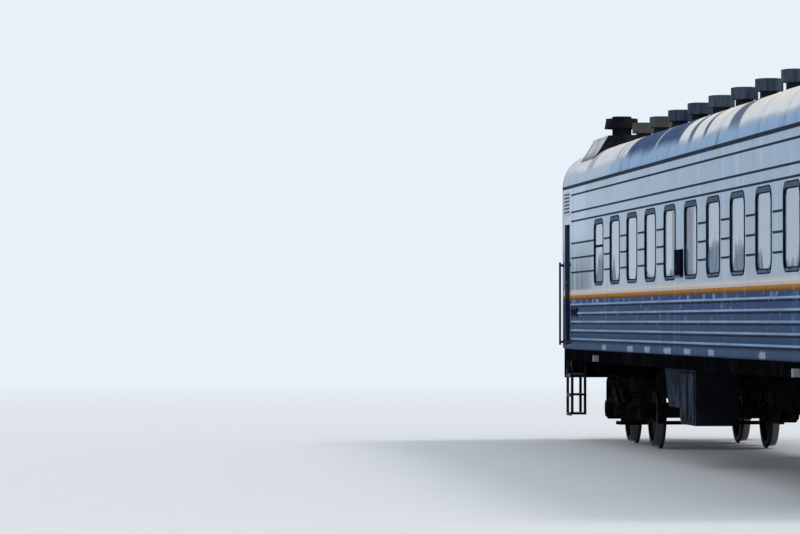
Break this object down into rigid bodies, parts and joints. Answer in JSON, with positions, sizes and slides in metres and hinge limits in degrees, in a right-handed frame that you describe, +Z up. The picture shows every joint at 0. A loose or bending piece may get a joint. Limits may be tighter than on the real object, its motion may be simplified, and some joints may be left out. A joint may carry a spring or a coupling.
{
  "type": "passenger railway coach",
  "caption": "Broad gauge bogie coach with ribbed steel sides, a row of windows, roof vents, end vestibules with doors and two swivelling bogies.",
  "frame": {"origin": "middle of the coach, at the lowest point of the wheel flanges; the rail head is 28 mm higher", "axes": "+X along the coach towards end B, +Y to the aisle side, +Z up"},
  "size_m": [24.58, 3.257, 4.693],
  "materials": {
    "side_paint": "aged satin paint, pale blue-grey above and blue below",
    "roof_paint": "matt silver roof paint, dusty",
    "end_paint": "dark blue paint",
    "frame_paint": "black underframe paint under grime",
    "bogie_iron": "black, oily and dusty",
    "wheel_steel": "rusty discs with bright treads",
    "window_frame": "dark frames",
    "window_glass": "old flat glass",
    "rubber": "matt black rubber",
    "rail_paint": "navy paint worn at the grip",
    "vent_paint": "grey paint, sooty",
    "hood_soot": "soot over paint",
    "lamp_lens": "red lens",
    "board_paint": "white enamelled plate, blank",
    "lino": "brown linoleum",
    "panel_board": "varnished partition boards",
    "berth_board": "varnished slatted berths"
  },
  "bodies": {
    "coach": {"underframe": "frame_paint", "floor": "lino", "side_wall_aisle_side": "side_paint", "side_wall_bay_side": "side_paint", "end_wall_a": "end_paint", "end_wall_b": "end_paint", "door_surrounds": "side_paint", "roof_crown": "roof_paint", "roof_shoulders": "roof_paint", "window_frames": "window_frame", "window_glass_aisle_side": "window_glass", "window_glass_bay_side": "window_glass", "roof_vents": "vent_paint", "boiler_hood": "hood_soot", "gangway_tubes": "rubber", "couplers": "bogie_iron", "buffers": "frame_paint", "steps": "frame_paint", "handrails": "rail_paint", "tail_lamps": "lamp_lens", "route_board_holders": "board_paint", "battery_box": "frame_paint", "equipment_boxes": "frame_paint", "air_reservoirs": "frame_paint", "brake_cylinder": "frame_paint", "brake_rods": "frame_paint", "door_louvres": "side_paint", "bay_partitions": "panel_board", "end_partitions": "panel_board", "berths": "berth_board", "tables": "berth_board"},
    "door_a_bay_side": {"side_door_a_bay_side": "rail_paint", "side_door_glass_a_bay_side": "window_glass"},
    "door_a_aisle_side": {"side_door_a_aisle_side": "rail_paint", "side_door_glass_a_aisle_side": "window_glass"},
    "door_b_bay_side": {"side_door_b_bay_side": "rail_paint", "side_door_glass_b_bay_side": "window_glass"},
    "door_b_aisle_side": {"side_door_b_aisle_side": "rail_paint", "side_door_glass_b_aisle_side": "window_glass"},
    "end_door_a_leaf": {"end_door_a": "end_paint"},
    "bogie_a": {"bogie_frame_a": "bogie_iron", "swing_bolster_a": "bogie_iron", "springs_a": "bogie_iron", "dampers_a": "bogie_iron", "axle_boxes_a": "bogie_iron", "brake_gear_a": "bogie_iron"},
    "wheelset_a1_body": {"wheelset_a1": "wheel_steel"},
    "wheelset_a2_body": {"wheelset_a2": "wheel_steel"},
    "end_door_b_leaf": {"end_door_b": "end_paint"},
    "bogie_b": {"bogie_frame_b": "bogie_iron", "swing_bolster_b": "bogie_iron", "springs_b": "bogie_iron", "dampers_b": "bogie_iron", "axle_boxes_b": "bogie_iron", "brake_gear_b": "bogie_iron"},
    "wheelset_b1_body": {"wheelset_b1": "wheel_steel"},
    "wheelset_b2_body": {"wheelset_b2": "wheel_steel"}
  },
  "joints": [
    {"name": "door_a_bay_side_hinge", "type": "hinge", "parent": "coach", "child": "door_a_bay_side", "pos_m": [-11.57, -1.4195, 1.418], "axis": [0, 0, 1], "range_deg": [0, 88]},
    {"name": "door_a_aisle_side_hinge", "type": "hinge", "parent": "coach", "child": "door_a_aisle_side", "pos_m": [-11.57, 1.4195, 1.418], "axis": [0, 0, 1], "range_deg": [-88, 0]},
    {"name": "door_b_bay_side_hinge", "type": "hinge", "parent": "coach", "child": "door_b_bay_side", "pos_m": [11.57, -1.4195, 1.418], "axis": [0, 0, 1], "range_deg": [-88, 0]},
    {"name": "door_b_aisle_side_hinge", "type": "hinge", "parent": "coach", "child": "door_b_aisle_side", "pos_m": [11.57, 1.4195, 1.418], "axis": [0, 0, 1], "range_deg": [0, 88]},
    {"name": "end_door_a_hinge", "type": "hinge", "parent": "coach", "child": "end_door_a_leaf", "pos_m": [-11.702, 0.38, 1.418], "axis": [0, 0, 1], "range_deg": [0, 88]},
    {"name": "bogie_a_swivel", "type": "hinge", "parent": "coach", "child": "bogie_a", "pos_m": [-8.5, 0, 1.018], "axis": [0, 0, 1], "range_deg": [-4, 4]},
    {"name": "wheelset_a1_axle", "type": "hinge", "parent": "bogie_a", "child": "wheelset_a1_body", "pos_m": [-9.7, 0, 0.503], "axis": [0, 1, 0], "continuous": true},
    {"name": "wheelset_a2_axle", "type": "hinge", "parent": "bogie_a", "child": "wheelset_a2_body", "pos_m": [-7.3, 0, 0.503], "axis": [0, 1, 0], "continuous": true},
    {"name": "end_door_b_hinge", "type": "hinge", "parent": "coach", "child": "end_door_b_leaf", "pos_m": [11.702, 0.38, 1.418], "axis": [0, 0, 1], "range_deg": [-88, 0]},
    {"name": "bogie_b_swivel", "type": "hinge", "parent": "coach", "child": "bogie_b", "pos_m": [8.5, 0, 1.018], "axis": [0, 0, 1], "range_deg": [-4, 4]},
    {"name": "wheelset_b1_axle", "type": "hinge", "parent": "bogie_b", "child": "wheelset_b1_body", "pos_m": [7.3, 0, 0.503], "axis": [0, 1, 0], "continuous": true},
    {"name": "wheelset_b2_axle", "type": "hinge", "parent": "bogie_b", "child": "wheelset_b2_body", "pos_m": [9.7, 0, 0.503], "axis": [0, 1, 0], "continuous": true}
  ]
}
